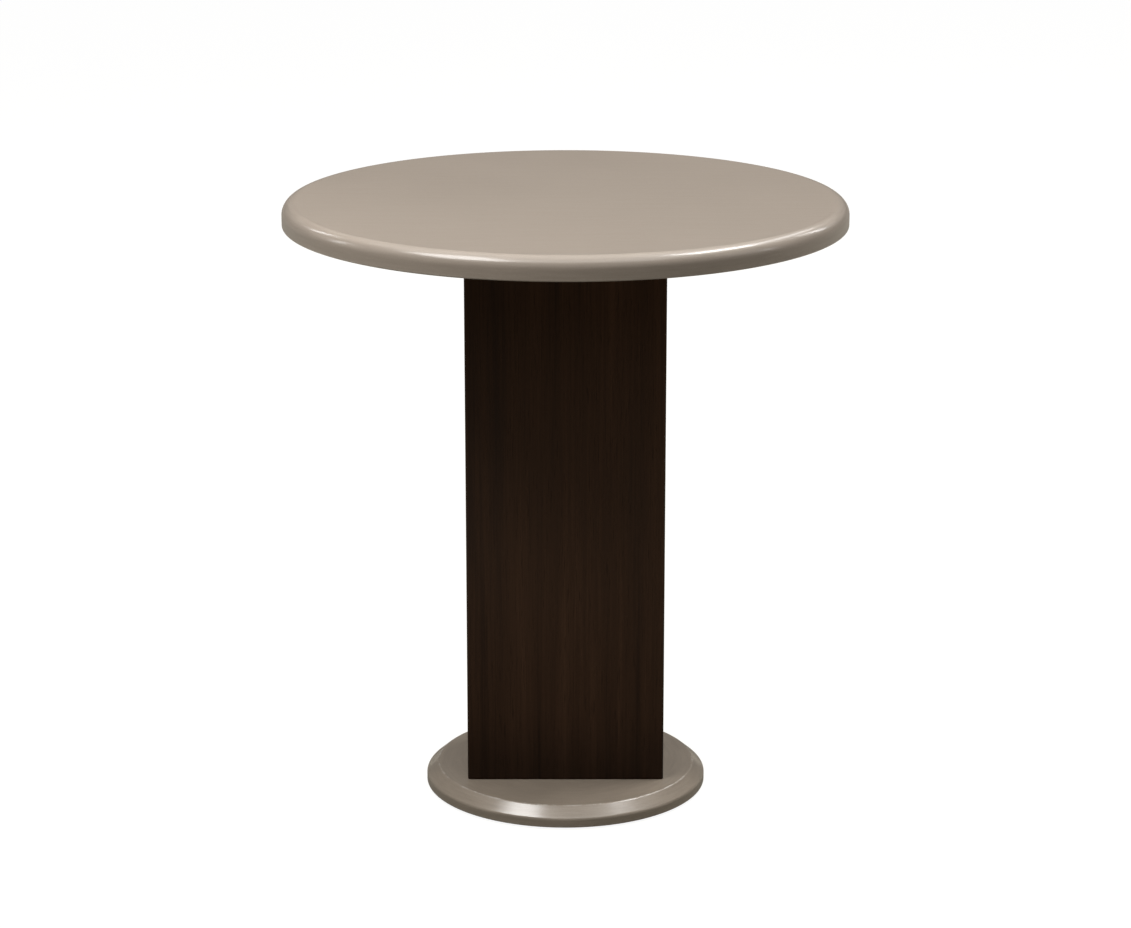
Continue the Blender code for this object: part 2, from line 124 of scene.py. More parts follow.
def shade(tree, colour, factor):
    # colour times a grey value
    grey = put(tree, "CombineColor", {"Red": factor, "Green": factor, "Blue": factor}).outputs[0]
    return tint(tree, 1.0, colour, grey, "MULTIPLY")


def ownPlace(tree):
    # the piece's own coordinates in metres
    return put(tree, "TexCoord").outputs["Object"]


def stretch(tree, place, scale, turnBy=0.0):
    values = {"Vector": place, "Rotation": (0.0, 0.0, turnBy), "Scale": scale}
    return put(tree, "Mapping", values).outputs[0]


def aboutAxis(tree, place):
    # height, distance from the upright axis and the flat part
    parts = put(tree, "SeparateXYZ", {"Vector": place}).outputs
    flat = put(tree, "CombineXYZ", {"X": parts["X"], "Y": parts["Y"]}).outputs[0]
    radius = put(tree, "VectorMath", {0: flat}, operation="LENGTH").outputs["Value"]
    return parts["Z"], radius, flat


def noise(tree, vector, scale, detail=2.0, roughness=0.5, distortion=0.0):
    values = {"Vector": vector, "Scale": scale, "Detail": detail, "Roughness": roughness,
              "Distortion": distortion}
    return put(tree, "TexNoise", values).outputs["Fac"]


def startGroup(name, inputs, outputs):
    group = bpy.data.node_groups.new(name, "ShaderNodeTree")
    for label, value in inputs.items():
        size = len(value) if isinstance(value, tuple) else 1
        kind = {1: "NodeSocketFloat", 3: "NodeSocketVector", 4: "NodeSocketColor"}[size]
        group.interface.new_socket(label, in_out="INPUT", socket_type=kind).default_value = value
    for label, kind in outputs.items():
        group.interface.new_socket(label, in_out="OUTPUT", socket_type="NodeSocket" + kind)
    return group, group.nodes.new("NodeGroupInput").outputs, group.nodes.new("NodeGroupOutput")


def useGroup(tree, group, values):
    return put(tree, "Group", values, node_tree=group).outputs


def newFinish(name):
    material = bpy.data.materials.new(name)
    material.use_nodes = True
    tree = material.node_tree
    return material, tree, tree.nodes["Principled BSDF"]


def bump(tree, height, depth):
    return put(tree, "Bump", {"Height": height, "Distance": depth, "Strength": 1.0}).outputs["Normal"]


def opaque(colour):
    return (*colour, 1.0)


# sprayed metallic lacquer: cloudy body, flakes, a little orange peel

def buildLacquerGroup():
    group, given, result = startGroup("sprayedLacquer", {
        "Colour": (0.5, 0.5, 0.5, 1.0), "Cloud Size": 0.12, "Cloud Depth": 0.05, "Streak Depth": 0.03,
        "Flake Size": 0.0006, "Flake Depth": 0.1, "Roughness": 0.3, "Roughness Spread": 0.05,
    }, {"Colour": "Color", "Roughness": "Float", "Peel": "Float"})
    streakScale = (14.0, 260.0, 260.0)   # long from side to side
    peelScale = 210.0
    place = ownPlace(group)
    cloudScale = calc(group, "DIVIDE", 1.0, given["Cloud Size"])
    clouds = noise(group, place, cloudScale, 4.0, 0.6, 0.4)
    streaks = noise(group, stretch(group, place, streakScale), 1.0, 4.0, 0.6)
    flakeScale = calc(group, "DIVIDE", 1.0, given["Flake Size"])
    flakes = put(group, "TexVoronoi", {"Vector": place, "Scale": flakeScale}).outputs["Color"]
    flake = put(group, "SeparateColor", {"Color": flakes}).outputs["Red"]
    level = 1.0
    for value, depth in ((clouds, "Cloud Depth"), (streaks, "Streak Depth"), (flake, "Flake Depth")):
        level = plus(group, level, swing(group, value), given[depth])
    uneven = calc(group, "ADD", swing(group, clouds), swing(group, streaks))
    dress(group, result, {
        "Colour": shade(group, given["Colour"], level),
        "Roughness": plus(group, given["Roughness"], uneven, given["Roughness Spread"]),
        "Peel": noise(group, place, peelScale),
    })
    return group


# wear along a turned edge, as a broken ring round the axis

def buildEdgeGroup():
    group, given, result = startGroup("turnedEdgeWear", {
        "Edge Radius": 0.1, "Edge Height": 0.0, "Reach": 0.003, "Break Scale": 60.0, "Amount": 0.5,
    }, {"Mask": "Float"})
    sound, worn = 0.42, 0.66   # noise levels where the ring stops and is whole
    place = ownPlace(group)
    height, radius = aboutAxis(group, place)[:2]
    away = calc(group, "SUBTRACT", radius, given["Edge Radius"])
    above = calc(group, "SUBTRACT", height, given["Edge Height"])
    distance = calc(group, "SQRT", plus(group, times(group, away, away), above, above))
    near = remap(group, calc(group, "DIVIDE", distance, given["Reach"]), 0.0, 1.0, 1.0, 0.0)
    broken = remap(group, noise(group, place, given["Break Scale"], 5.0, 0.7), sound, worn)
    dress(group, result, {"Mask": times(group, times(group, near, broken), given["Amount"])})
    return group


# fine lines round the axis, as brushing or sanding on a turntable leaves them

def buildBrushGroup():
    group, given, result = startGroup("turnedBrush", {
        "Lengthwise": 4.0, "Fineness": 700.0,
    }, {"Value": "Float", "Radius": "Float"})
    height, radius, flat = aboutAxis(group, ownPlace(group))
    ring = put(group, "VectorMath", {0: flat}, operation="NORMALIZE").outputs[0]
    bearing = put(group, "SeparateXYZ", {"Vector": ring}).outputs
    line = put(group, "CombineXYZ", {
        "X": times(group, bearing["X"], given["Lengthwise"]),
        "Y": times(group, bearing["Y"], given["Lengthwise"]),
        "Z": times(group, radius, given["Fineness"]),
    }).outputs[0]
    lines = put(group, "TexNoise", {
        "Vector": line, "W": times(group, height, given["Fineness"]),
        "Scale": 1.0, "Detail": 4.0, "Roughness": 0.65,
    }, noise_dimensions="4D").outputs["Fac"]
    dress(group, result, {"Value": lines, "Radius": radius})
    return group


# hairline scuffs in three crossing directions

def buildScuffGroup():
    group, given, result = startGroup("hairScuffs", {
        "Density": 0.5, "Fineness": 900.0,
    }, {"Mask": "Float"})
    directions = ((0.35, 2.0), (1.45, 3.0), (2.5, 2.5))   # radians, and how fine its patches are
    hairScale = (0.02, 1.0, 1.0)
    place = ownPlace(group)
    total = 0.0
    for angle, detail in directions:
        hair = noise(group, stretch(group, place, hairScale, angle), given["Fineness"], detail, 0.5, 0.2)
        patch = noise(group, place, 18.0 + 7.0 * detail)
        thin = times(group, remap(group, hair, 0.68, 0.74), remap(group, patch, 0.5, 0.65))
        total = calc(group, "MAXIMUM", total, thin)
    dress(group, result, {"Mask": times(group, total, given["Density"])})
    return group


# straight wood grain up the piece: broad figure, streaks, fibre and pores

def buildGrainGroup():
    group, given, result = startGroup("straightGrain", {
        "Light": (0.5, 0.5, 0.5, 1.0), "Middle": (0.3, 0.3, 0.3, 1.0), "Dark": (0.1, 0.1, 0.1, 1.0),
        "Board": (0.0, 0.0, 0.0), "Pore Depth": 0.5, "Roughness": 0.4,
    }, {"Colour": "Color", "Roughness": "Float", "Height": "Float"})
    place = put(group, "VectorMath", {0: ownPlace(group), 1: given["Board"]}, operation="ADD").outputs[0]

    def grainNoise(across, along, detail, roughness, distortion=0.0):
        lengthened = stretch(group, place, (across, across, along))
        return noise(group, lengthened, 1.0, detail, roughness, distortion)

    figure = grainNoise(16.0, 0.8, 3.0, 0.55, 0.6)
    streaks = grainNoise(110.0, 2.4, 5.0, 0.62, 0.3)
    fibre = grainNoise(620.0, 9.0, 4.0, 0.65)
    pores = remap(group, grainNoise(1050.0, 34.0, 2.0, 0.5), 0.60, 0.70)
    mixed = plus(group, times(group, figure, 0.45), streaks, 0.38)
    mixed = plus(group, mixed, fibre, 0.17)
    colour = tint(group, remap(group, mixed, 0.36, 0.52), given["Dark"], given["Middle"])
    colour = tint(group, remap(group, mixed, 0.50, 0.66), colour, given["Light"])
    pores = times(group, pores, given["Pore Depth"])
    uneven = plus(group, times(group, swing(group, mixed), 0.25), pores, 0.12)
    dress(group, result, {
        "Colour": tint(group, pores, colour, given["Dark"]),
        "Roughness": calc(group, "ADD", given["Roughness"], uneven),
        "Height": calc(group, "SUBTRACT", times(group, fibre, 0.4), pores),
    })
    return group


# zinc plating: bright patches, faint warm bloom and drawn lines

def buildZincGroup():
    group, given, result = startGroup("zincPlating", {
        "Colour": (0.55, 0.56, 0.57, 1.0), "Bloom": (0.55, 0.52, 0.45, 1.0),
        "Roughness": 0.35, "Draw": (1.0, 1.0, 1.0),
    }, {"Colour": "Color", "Roughness": "Float", "Height": "Float"})
    place = ownPlace(group)
    patches = noise(group, place, 70.0, 4.0, 0.6, 0.8)
    colour = tint(group, remap(group, patches, 0.42, 0.68, 0.0, 0.8), given["Colour"], given["Bloom"])
    drawn = put(group, "VectorMath", {0: place, 1: given["Draw"]}, operation="MULTIPLY").outputs[0]
    lines = noise(group, drawn, 1.0, 4.0, 0.6)
    uneven = plus(group, times(group, patches, 0.16), lines, 0.14)
    uneven = calc(group, "SUBTRACT", uneven, 0.15)
    dress(group, result, {
        "Colour": shade(group, colour, plus(group, 0.9, lines, 0.2)),
        "Roughness": calc(group, "ADD", given["Roughness"], uneven),
        "Height": lines,
    })
    return group


lacquerGroup = buildLacquerGroup()
edgeGroup = buildEdgeGroup()
brushGroup = buildBrushGroup()
scuffGroup = buildScuffGroup()
grainGroup = buildGrainGroup()
zincGroup = buildZincGroup()
print("effect groups ready:", len(bpy.data.node_groups))


# mesh helpers

mergeWithin = 0.001 * mm
cutSpare = 1.0 * mm   # a cutter and what it trims stand this far past each other


def softCorners(corners, steps, closed=False):
    # corner points (x, y, radius) become a line with true arcs
    points = []
    last = len(corners) - 1
    for i, (x, y, radius) in enumerate(corners):
        corner = Vector((x, y))
        if radius == 0 or (not closed and i in (0, last)):
            points.append(corner)
            continue
        back = (Vector(corners[i - 1][:2]) - corner).normalized()
        ahead = (Vector(corners[(i + 1) % len(corners)][:2]) - corner).normalized()
        half = back.angle(ahead) / 2
        centre = corner + (back + ahead).normalized() * radius / math.sin(half)
        spoke = corner + back * radius / math.tan(half) - centre
        sweep = math.copysign(math.pi - 2 * half, (-back).cross(ahead))
        points += [centre + Matrix.Rotation(sweep * s / steps, 2) @ spoke for s in range(steps + 1)]
    return points


def holdFlats(points, gap, closed=False):
    # a point close to both ends of each long run keeps smooth shading inside the rounds
    held = []
    ends = points[1:] + (points[:1] if closed else [])
    for start, end in zip(points, ends):
        held.append(start)
        run = end - start
        if run.length > 4 * gap:
            held += [start + run.normalized() * gap, end - run.normalized() * gap]
    return held if closed else held + [points[-1]]


def cleanUp(shape):
    bmesh.ops.remove_doubles(shape, verts=shape.verts, dist=mergeWithin)
    bmesh.ops.recalc_face_normals(shape, faces=shape.faces)
    return shape


def addTurned(shape, profile, segments, closed=False, spot=(0.0, 0.0)):
    centre = Vector((spot[0], spot[1], 0.0))
    line = [shape.verts.new(centre + Vector((radius, 0, height))) for radius, height in profile]
    ends = line[1:] + (line[:1] if closed else [])
    edges = [shape.edges.new(pair) for pair in zip(line, ends)]
    bmesh.ops.spin(shape, geom=line + edges, cent=centre, axis=(0, 0, 1),
                   angle=2 * math.pi, steps=segments, use_merge=True)
    return cleanUp(shape)


def addPlug(shape, radius, low, high, segments, spot):
    return addTurned(shape, [(0, high), (radius, high), (radius, low), (0, low)], segments, spot=spot)


def addPrism(shape, outline, low, high, easing=0.0):
    floor = shape.faces.new([shape.verts.new((point.x, point.y, low)) for point in outline])
    raised = bmesh.ops.extrude_face_region(shape, geom=[floor], use_keep_orig=True)
    lifted = [item for item in raised["geom"] if isinstance(item, bmesh.types.BMVert)]
    bmesh.ops.translate(shape, verts=lifted, vec=(0, 0, high - low))
    cleanUp(shape)
    if easing:
        ends = [edge for edge in shape.edges if abs(edge.verts[0].co.z - edge.verts[1].co.z) < easing / 10]
        bmesh.ops.bevel(shape, geom=ends, offset=easing, segments=3, profile=0.5, affect="EDGES")
    return shape


def addThread(shape, radius, depth, pitch, low, high, segments, point=0.0, lead=0.0):
    # helical ridge: each ring climbs one pitch a turn, and both ends are cut square
    rows = (0.0, 0.5, 1.0, 0.5)   # from root to crest and back
    spareTurns = 1.5              # past each end, cut off below
    leadDepth = 1.1               # times the thread's depth
    tipShare = 0.12               # of the width, left at a point
    start = low - spareTurns * pitch
    count = math.ceil((high - low) / pitch + 2 * spareTurns) * len(rows)
    rings = []
    for row in range(count + len(rows)):
        ring = []
        for step in range(segments):
            height = start + (row / len(rows) + step / segments) * pitch
            size = radius - depth * (1 - rows[row % len(rows)])
            toEnd = min(height - low, high - height)
            if lead and toEnd < lead:
                size = min(size, radius - depth * leadDepth * (1 - max(toEnd, 0.0) / lead))
            if point and high - height < point:
                size *= max(tipShare, (high - height) / point)
            angle = 2 * math.pi * step / segments
            ring.append(shape.verts.new((size * math.cos(angle), size * math.sin(angle), height)))
        rings.append(ring)
    for row in range(count - 1):
        for step in range(segments):
            wraps = step == segments - 1
            right, following = (row + len(rows), 0) if wraps else (row, step + 1)
            if right + 1 < len(rings):
                shape.faces.new((rings[row][step], rings[right][following],
                                 rings[right + 1][following], rings[row + 1][step]))
    for level, side in ((low, -1), (high, 1)):
        bmesh.ops.bisect_plane(shape, geom=shape.verts[:] + shape.edges[:] + shape.faces[:],
                               plane_co=(0, 0, level), plane_no=(0, 0, side), clear_outer=True)
    loose = [vert for vert in shape.verts if not vert.link_faces]
    bmesh.ops.delete(shape, geom=loose, context="VERTS")
    bmesh.ops.holes_fill(shape, edges=[edge for edge in shape.edges if edge.is_boundary])
    return cleanUp(shape)


def rectOutline(halfX, halfY, corner, steps=8):
    ends = ((halfX, -halfY), (halfX, halfY), (-halfX, halfY), (-halfX, -halfY))
    return softCorners([(x, y, corner) for x, y in ends], steps, closed=True)


def asObject(shape):
    data = bpy.data.meshes.new("tool")
    shape.to_mesh(data)
    shape.free()
    item = bpy.data.objects.new("tool", data)
    scene.collection.objects.link(item)
    return item


def combine(body, tool, operation="DIFFERENCE"):
    bodyObject, toolObject = asObject(body), asObject(tool)
    modifier = bodyObject.modifiers.new("combine", "BOOLEAN")
    modifier.operation = operation
    modifier.solver = "EXACT"
    modifier.object = toolObject
    result = bmesh.new()
    result.from_object(bodyObject, bpy.context.evaluated_depsgraph_get())
    for item in (bodyObject, toolObject):
        bpy.data.objects.remove(item, do_unlink=True)
    return cleanUp(result)


def hexBody(acrossFlats, low, high):
    # hexagon with its corners turned off at 30 degrees
    flat = acrossFlats / 2
    corner = flat / math.cos(math.pi / 6)
    outside = 2 * corner - flat
    fall = (outside - flat) * math.tan(math.radians(30))
    outline = [Matrix.Rotation(math.pi / 3 * side, 2) @ Vector((corner, 0)) for side in range(6)]
    prism = addPrism(bmesh.new(), outline, low - cutSpare, high + cutSpare)
    turned = addTurned(bmesh.new(), [
        (0, high), (flat, high), (outside, high - fall), (outside, low + fall), (flat, low), (0, low),
    ], 96)
    return combine(prism, turned, "INTERSECT")


def finishMesh(name, shape, finish, sharp=32):
    # many-sided faces are split evenly, so no export leaves flat triangles in them
    bmesh.ops.triangulate(shape, faces=[face for face in shape.faces if len(face.verts) > 4])
    data = bpy.data.meshes.new(name)
    shape.to_mesh(data)
    shape.free()
    data.materials.append(finish)
    data.shade_smooth()
    data.set_sharp_from_angle(angle=math.radians(sharp))
    return data


def addPiece(name, data, body, nodes, place=(0.0, 0.0, 0.0)):
    piece = bpy.data.objects.new(name, data)
    piece.location = place
    scene.collection.objects.link(piece)
    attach(piece, body)
    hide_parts(*nodes)


def addFixed(name, shape, finish, node, place=(0.0, 0.0, 0.0), sharp=32):
    # one of a kind, on the table's own body
    addPiece(name, finishMesh(name, shape, finish, sharp), "table", [node], place)


def addFasteners(label, data, nodes, height):
    for number, node in enumerate(nodes, 1):
        spot = middle(node)
        addPiece(f"{label}_{number}", data, "table", [node], (spot.x, spot.y, height))


def middle(node):
    low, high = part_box(node)
    return (low + high) / 2


def numbered(start):
    return sorted(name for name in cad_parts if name.startswith(start))


screwNodes = numbered("top_plate_screw_")
topPinNodes = numbered("top_plate_pin_")
basePinNodes = numbered("base_pin_")
footNodes = numbered("glide_foot_")
studNodes = numbered("glide_stud_")


# lacquered top

roundTop = {
    "segments": 256,
    "upperRound": 12.3 * mm,
    "lowerRound": 1.5 * mm,
    "roundSteps": 24,
    "holdGap": 0.5 * mm,
    "plateGap": 0.3 * mm,
    "pocketCorner": 14.3 * mm,
    "pilotRadius": 2.7 * mm,
    "pilotStart": 2.0 * mm,      # above the plate's underside
    "pilotSpare": 0.3 * mm,
    "pilotSegments": 24,
    "colour": (0.328, 0.2745, 0.2245),
    "wearColour": (0.44, 0.39, 0.33),
    "wearRoughness": 0.15,
    "scuffRoughness": 0.10,
    "roughness": 0.40,
    "metallic": 0.02,
    "specular": 0.30,
    "coat": (0.20, 0.64),                # on the flat and on the edge
    "coatFade": (16.0 * mm, 9.5 * mm),   # in from the outside
    "flatShade": 0.87,                   # evens out the thinner coat
    "coatRoughness": 0.15,
    "peelDepth": 0.010 * mm,
    "brushDepth": 0.36,
    "brushFade": (14.0 * mm, 6.0 * mm),  # in from the outside
}


def topLacquer(look):
    low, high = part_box("table_top")
    material, tree, shader = newFinish("taupeLacquerTop")
    body = useGroup(tree, lacquerGroup, {
        "Colour": opaque(look["colour"]), "Cloud Size": 0.16, "Cloud Depth": 0.05,
        "Streak Depth": 0.045, "Flake Size": 0.7 * mm, "Flake Depth": 0.07,
        "Roughness": look["roughness"], "Roughness Spread": 0.10,
    })
    edge = useGroup(tree, edgeGroup, {
        "Edge Radius": high.x - 0.6 * mm, "Edge Height": low.z + 1.0 * mm,
        "Reach": 3.0 * mm, "Break Scale": 45.0, "Amount": 0.35,
    })
    scuffs = useGroup(tree, scuffGroup, {"Density": 0.5, "Fineness": 800.0})
    brush = useGroup(tree, brushGroup, {"Lengthwise": 6.0, "Fineness": 330.0})

    def fromOutside(fade, inner, outer):
        return remap(tree, brush["Radius"], high.x - fade[0], high.x - fade[1], inner, outer)

    onEdge = fromOutside(look["brushFade"], 0.0, look["brushDepth"])
    colour = shade(tree, body["Colour"], plus(tree, 1.0, swing(tree, brush["Value"]), onEdge))
    colour = tint(tree, edge["Mask"], colour, opaque(look["wearColour"]))
    colour = shade(tree, colour, fromOutside(look["coatFade"], look["flatShade"], 1.0))
    roughness = plus(tree, body["Roughness"], edge["Mask"], look["wearRoughness"])
    roughness = plus(tree, roughness, scuffs["Mask"], look["scuffRoughness"])
    dress(tree, shader, {
        "Base Color": colour, "Roughness": roughness, "Metallic": look["metallic"],
        "Specular IOR Level": look["specular"], "Coat Weight": fromOutside(look["coatFade"], *look["coat"]),
        "Coat Roughness": look["coatRoughness"], "Normal": bump(tree, body["Peel"], look["peelDepth"]),
    })
    return material


def buildTop(look):
    low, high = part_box("table_top")
    plateLow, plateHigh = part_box("top_plate")
    radius = (high.x - low.x) / 2
    profile = softCorners([
        (0, high.z, 0),
        (radius, high.z, look["upperRound"]),
        (radius, low.z, look["lowerRound"]),
        (0, low.z, 0),
    ], look["roundSteps"])
    shape = addTurned(bmesh.new(), holdFlats(profile, look["holdGap"]), look["segments"])
    gap = look["plateGap"]
    pocket = rectOutline(plateHigh.x + gap, plateHigh.y + gap, look["pocketCorner"])
    shape = combine(shape, addPrism(bmesh.new(), pocket, low.z - cutSpare, plateHigh.z + gap))
    pilots = bmesh.new()
    for node in screwNodes:
        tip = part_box(node)[1].z + look["pilotSpare"]
        start = plateLow.z + look["pilotStart"]
        addPlug(pilots, look["pilotRadius"], start, tip, look["pilotSegments"], middle(node))
    addFixed("round_top", combine(shape, pilots), topLacquer(look), "table_top")


buildTop(roundTop)
print("top built")


# veneered column

columnWrap = {
    "edgeRound": 3.0 * mm,
    "edgeSteps": 8,
    "holdGap": 0.4 * mm,
    "thickness": 18.0 * mm,
    "mitreGap": 0.3 * mm,
    "endEasing": 0.5 * mm,
    "light": (0.087, 0.045, 0.0255),
    "middle": (0.053, 0.0270, 0.0152),
    "dark": (0.025, 0.0130, 0.0080),
    "roughness": 0.42,
    "specular": 0.15,
    "specularTint": (0.90, 0.74, 0.66),
    "poreDepth": 0.58,
    "grainDepth": 0.06 * mm,
    "footReach": 85.0 * mm,   # painted shade: the veneer's colour is darker this far up from the foot
    "footShade": 0.5,
    # where each side's veneer is cut from
    "boards": {
        "front": (0.0, 0.0, 0.0),
        "back": (3.1, 1.7, 0.4),
        "left": (5.3, 2.9, 0.9),
        "right": (8.7, 4.3, 1.3),
    },
}


def columnVeneer(look, side):
    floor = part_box("column_front_panel")[0].z
    material, tree, shader = newFinish("espressoVeneer" + side.capitalize())
    grain = useGroup(tree, grainGroup, {
        "Light": opaque(look["light"]), "Middle": opaque(look["middle"]), "Dark": opaque(look["dark"]),
        "Board": look["boards"][side], "Pore Depth": look["poreDepth"], "Roughness": look["roughness"],
    })
    # painted shade: the veneer darkens towards the foot of the column
    height = put(tree, "SeparateXYZ", {"Vector": ownPlace(tree)}).outputs["Z"]
    foot = remap(tree, height, floor, floor + look["footReach"], look["footShade"])
    dress(tree, shader, {
        "Base Color": shade(tree, grain["Colour"], foot), "Roughness": grain["Roughness"],
        "Specular IOR Level": look["specular"], "Specular Tint": opaque(look["specularTint"]),
        "Normal": bump(tree, grain["Height"], look["grainDepth"]),
    })
    return material


def panelShape(look, width, low, high):
    # mitred board, its face at y = 0 looking along -Y, with half of each eased corner
    half = width / 2
    edge = look["edgeRound"]
    inner = half - look["thickness"] - look["mitreGap"] / math.sqrt(2)
    sweep = math.pi / 4 - math.asin(look["mitreGap"] / 2 / edge)
    steps = look["edgeSteps"]
    turns = [sweep * s / steps for s in range(steps + 1)]
    right = [Vector((half - edge + edge * math.sin(a), edge - edge * math.cos(a))) for a in turns]
    face = [Vector((-point.x, point.y)) for point in reversed(right)] + right
    back = [Vector((inner, look["thickness"])), Vector((-inner, look["thickness"]))]
    return addPrism(bmesh.new(), back + holdFlats(face, look["holdGap"]), low, high, look["endEasing"])


def buildColumn(look):
    low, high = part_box("column_front_panel")
    width = 2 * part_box("column_right_panel")[1].x
    depth = -2 * low.y
    for side, size, turnBy, place in (
        ("front", width, 0, (0, -depth / 2)),
        ("right", depth, 1, (width / 2, 0)),
        ("back", width, 2, (0, depth / 2)),
        ("left", depth, 3, (-width / 2, 0)),
    ):
        shape = panelShape(look, size, low.z, high.z)
        bmesh.ops.rotate(shape, verts=shape.verts, matrix=Matrix.Rotation(math.pi / 2 * turnBy, 3, "Z"))
        bmesh.ops.translate(shape, verts=shape.verts, vec=(place[0], place[1], 0))
        addFixed("veneered_panel_" + side, shape, columnVeneer(look, side),
                 f"column_{side}_panel")


buildColumn(columnWrap)
print("column built")


# lacquered steel base

roundBase = {
    "segments": 256,
    "rimHeight": 9.2 * mm,
    "bevelRun": 12.0 * mm,
    "crownRound": 3.2 * mm,
    "shoulderRound": 3.8 * mm,
    "lowerRound": 0.9 * mm,
    "roundSteps": 10,
    "holdGap": 0.35 * mm,
    "rodHole": 6.5 * mm,
    "counterbore": 21.3 * mm,
    "counterboreDepth": 12.1 * mm,
    "counterboreRound": 0.5 * mm,
    "recess": 16.0 * mm,
    "recessCeiling": 9.6 * mm,   # above the floor
    "recessChamfer": 0.4 * mm,
    "recessSegments": 96,
    "tappedHole": 4.3 * mm,
    "tappedTop": 18.4 * mm,      # above the floor
    "tappedChamfer": 0.5 * mm,
    "pinClearance": 0.3 * mm,
    "pinSegments": 48,
    "colour": (0.334, 0.277, 0.217),
    # wear on the edges, and a painted highlight along the bevel's crown, which this light colour stands in
    # for
    "wearColour": (0.74, 0.69, 0.63),
    "wearRoughness": 0.12,
    "scuffRoughness": 0.12,
    "roughness": 0.42,
    "metallic": 0.02,
    "specular": 0.30,
    "specularTint": (1.0, 0.95, 0.90),
    "coat": 1.0,
    "coatRoughness": 0.20,
    "coatIor": 1.6,
    "peelDepth": 0.008 * mm,
    "brushDepth": 0.50,
    "brushRoughness": 0.35,
}


def baseLacquer(look):
    low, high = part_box("base_disc")
    material, tree, shader = newFinish("taupeLacquerBase")
    body = useGroup(tree, lacquerGroup, {
        "Colour": opaque(look["colour"]), "Cloud Size": 0.06, "Cloud Depth": 0.16,
        "Streak Depth": 0.0, "Flake Size": 0.5 * mm, "Flake Depth": 0.10,
        "Roughness": look["roughness"], "Roughness Spread": 0.12,
    })
    # wear and painted highlight: the light colour on the crown's round stands in for the lamps' highlight
    # there as well as for wear
    crownWearAndHighlight = useGroup(tree, edgeGroup, {
        "Edge Radius": high.x - look["bevelRun"], "Edge Height": high.z,
        "Reach": 1.6 * mm, "Break Scale": 70.0, "Amount": 0.5,
    })
    foot = useGroup(tree, edgeGroup, {
        "Edge Radius": high.x, "Edge Height": low.z,
        "Reach": 3.5 * mm, "Break Scale": 80.0, "Amount": 0.2,
    })
    scuffs = useGroup(tree, scuffGroup, {"Density": 0.6, "Fineness": 900.0})
    wearAndHighlight = calc(tree, "MAXIMUM", crownWearAndHighlight["Mask"], foot["Mask"])
    brush = useGroup(tree, brushGroup, {"Lengthwise": 4.0, "Fineness": 340.0})
    lines = swing(tree, brush["Value"])
    colour = shade(tree, body["Colour"], plus(tree, 1.0, lines, look["brushDepth"]))
    roughness = plus(tree, body["Roughness"], wearAndHighlight, look["wearRoughness"])
    roughness = plus(tree, roughness, lines, look["brushRoughness"])
    roughness = plus(tree, roughness, scuffs["Mask"], look["scuffRoughness"])
    dress(tree, shader, {
        "Base Color": tint(tree, wearAndHighlight, colour, opaque(look["wearColour"])),
        "Roughness": roughness, "Metallic": look["metallic"],
        "Specular IOR Level": look["specular"], "Specular Tint": opaque(look["specularTint"]),
        "Coat Weight": look["coat"], "Coat Roughness": look["coatRoughness"], "Coat IOR": look["coatIor"],
        "Normal": bump(tree, body["Peel"], look["peelDepth"]),
    })
    return material


def buildBase(look):
    low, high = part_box("base_disc")
    radius = (high.x - low.x) / 2
    shoulder = low.z + look["rimHeight"]
    bore, boreRound = look["counterbore"], look["counterboreRound"]
    ceiling = low.z + look["counterboreDepth"]
    profile = softCorners([
        (look["rodHole"], high.z, 0),
        (radius - look["bevelRun"], high.z, look["crownRound"]),
        (radius, shoulder, look["shoulderRound"]),
        (radius, low.z, look["lowerRound"]),
        (bore, low.z, boreRound),
        (bore, ceiling, boreRound),
        (look["rodHole"], ceiling, 0),
    ], look["roundSteps"], closed=True)
    profile = holdFlats(profile, look["holdGap"], closed=True)
    shape = addTurned(bmesh.new(), profile, look["segments"], closed=True)
    holes = bmesh.new()
    tap, tapTop, tapChamfer = look["tappedHole"], look["tappedTop"], look["tappedChamfer"]
    recess, recessTop, chamfer = look["recess"], look["recessCeiling"], look["recessChamfer"]
    below = low.z - cutSpare
    for node in footNodes:
        addTurned(holes, [
            (0, tapTop), (tap, tapTop), (tap, recessTop + tapChamfer),
            (tap + tapChamfer, recessTop), (recess, recessTop), (recess, low.z + chamfer),
            (recess + chamfer + cutSpare, below), (0, below),
        ], look["recessSegments"], spot=middle(node))
    for node in basePinNodes:
        pinLow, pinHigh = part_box(node)
        pinHole = (pinHigh.x - pinLow.x) / 2 + look["pinClearance"]
        addPlug(holes, pinHole, pinLow.z - look["pinClearance"], high.z + cutSpare,
                look["pinSegments"], middle(node))
    addFixed("bevelled_base", combine(shape, holes), baseLacquer(look), "base_disc")


buildBase(roundBase)
print("base built")


# zinc plated fittings inside the column and under the base

zincLook = {
    "colour": (0.60, 0.61, 0.62),
    "bloom": (0.60, 0.56, 0.47),
    "drawDepth": 0.01 * mm,
    "scuffRoughness": 0.15,
    # roughness, and lines a metre each way
    "rolled": (0.40, (40.0, 900.0, 900.0)),
    "turned": (0.32, (160.0, 160.0, 2400.0)),
}


def zincFinish(look, name, roughness, draw):
    material, tree, shader = newFinish(name)
    skin = useGroup(tree, zincGroup, {
        "Colour": opaque(look["colour"]), "Bloom": opaque(look["bloom"]),
        "Roughness": roughness, "Draw": draw,
    })
    scuffs = useGroup(tree, scuffGroup, {"Density": 0.8, "Fineness": 1200.0})
    dress(tree, shader, {
        "Base Color": skin["Colour"], "Metallic": 1.0,
        "Roughness": plus(tree, skin["Roughness"], scuffs["Mask"], look["scuffRoughness"]),
        "Normal": bump(tree, skin["Height"], look["drawDepth"]),
    })
    return material


rolledZinc = zincFinish(zincLook, "rolledZincPlate", *zincLook["rolled"])
turnedZinc = zincFinish(zincLook, "turnedZinc", *zincLook["turned"])

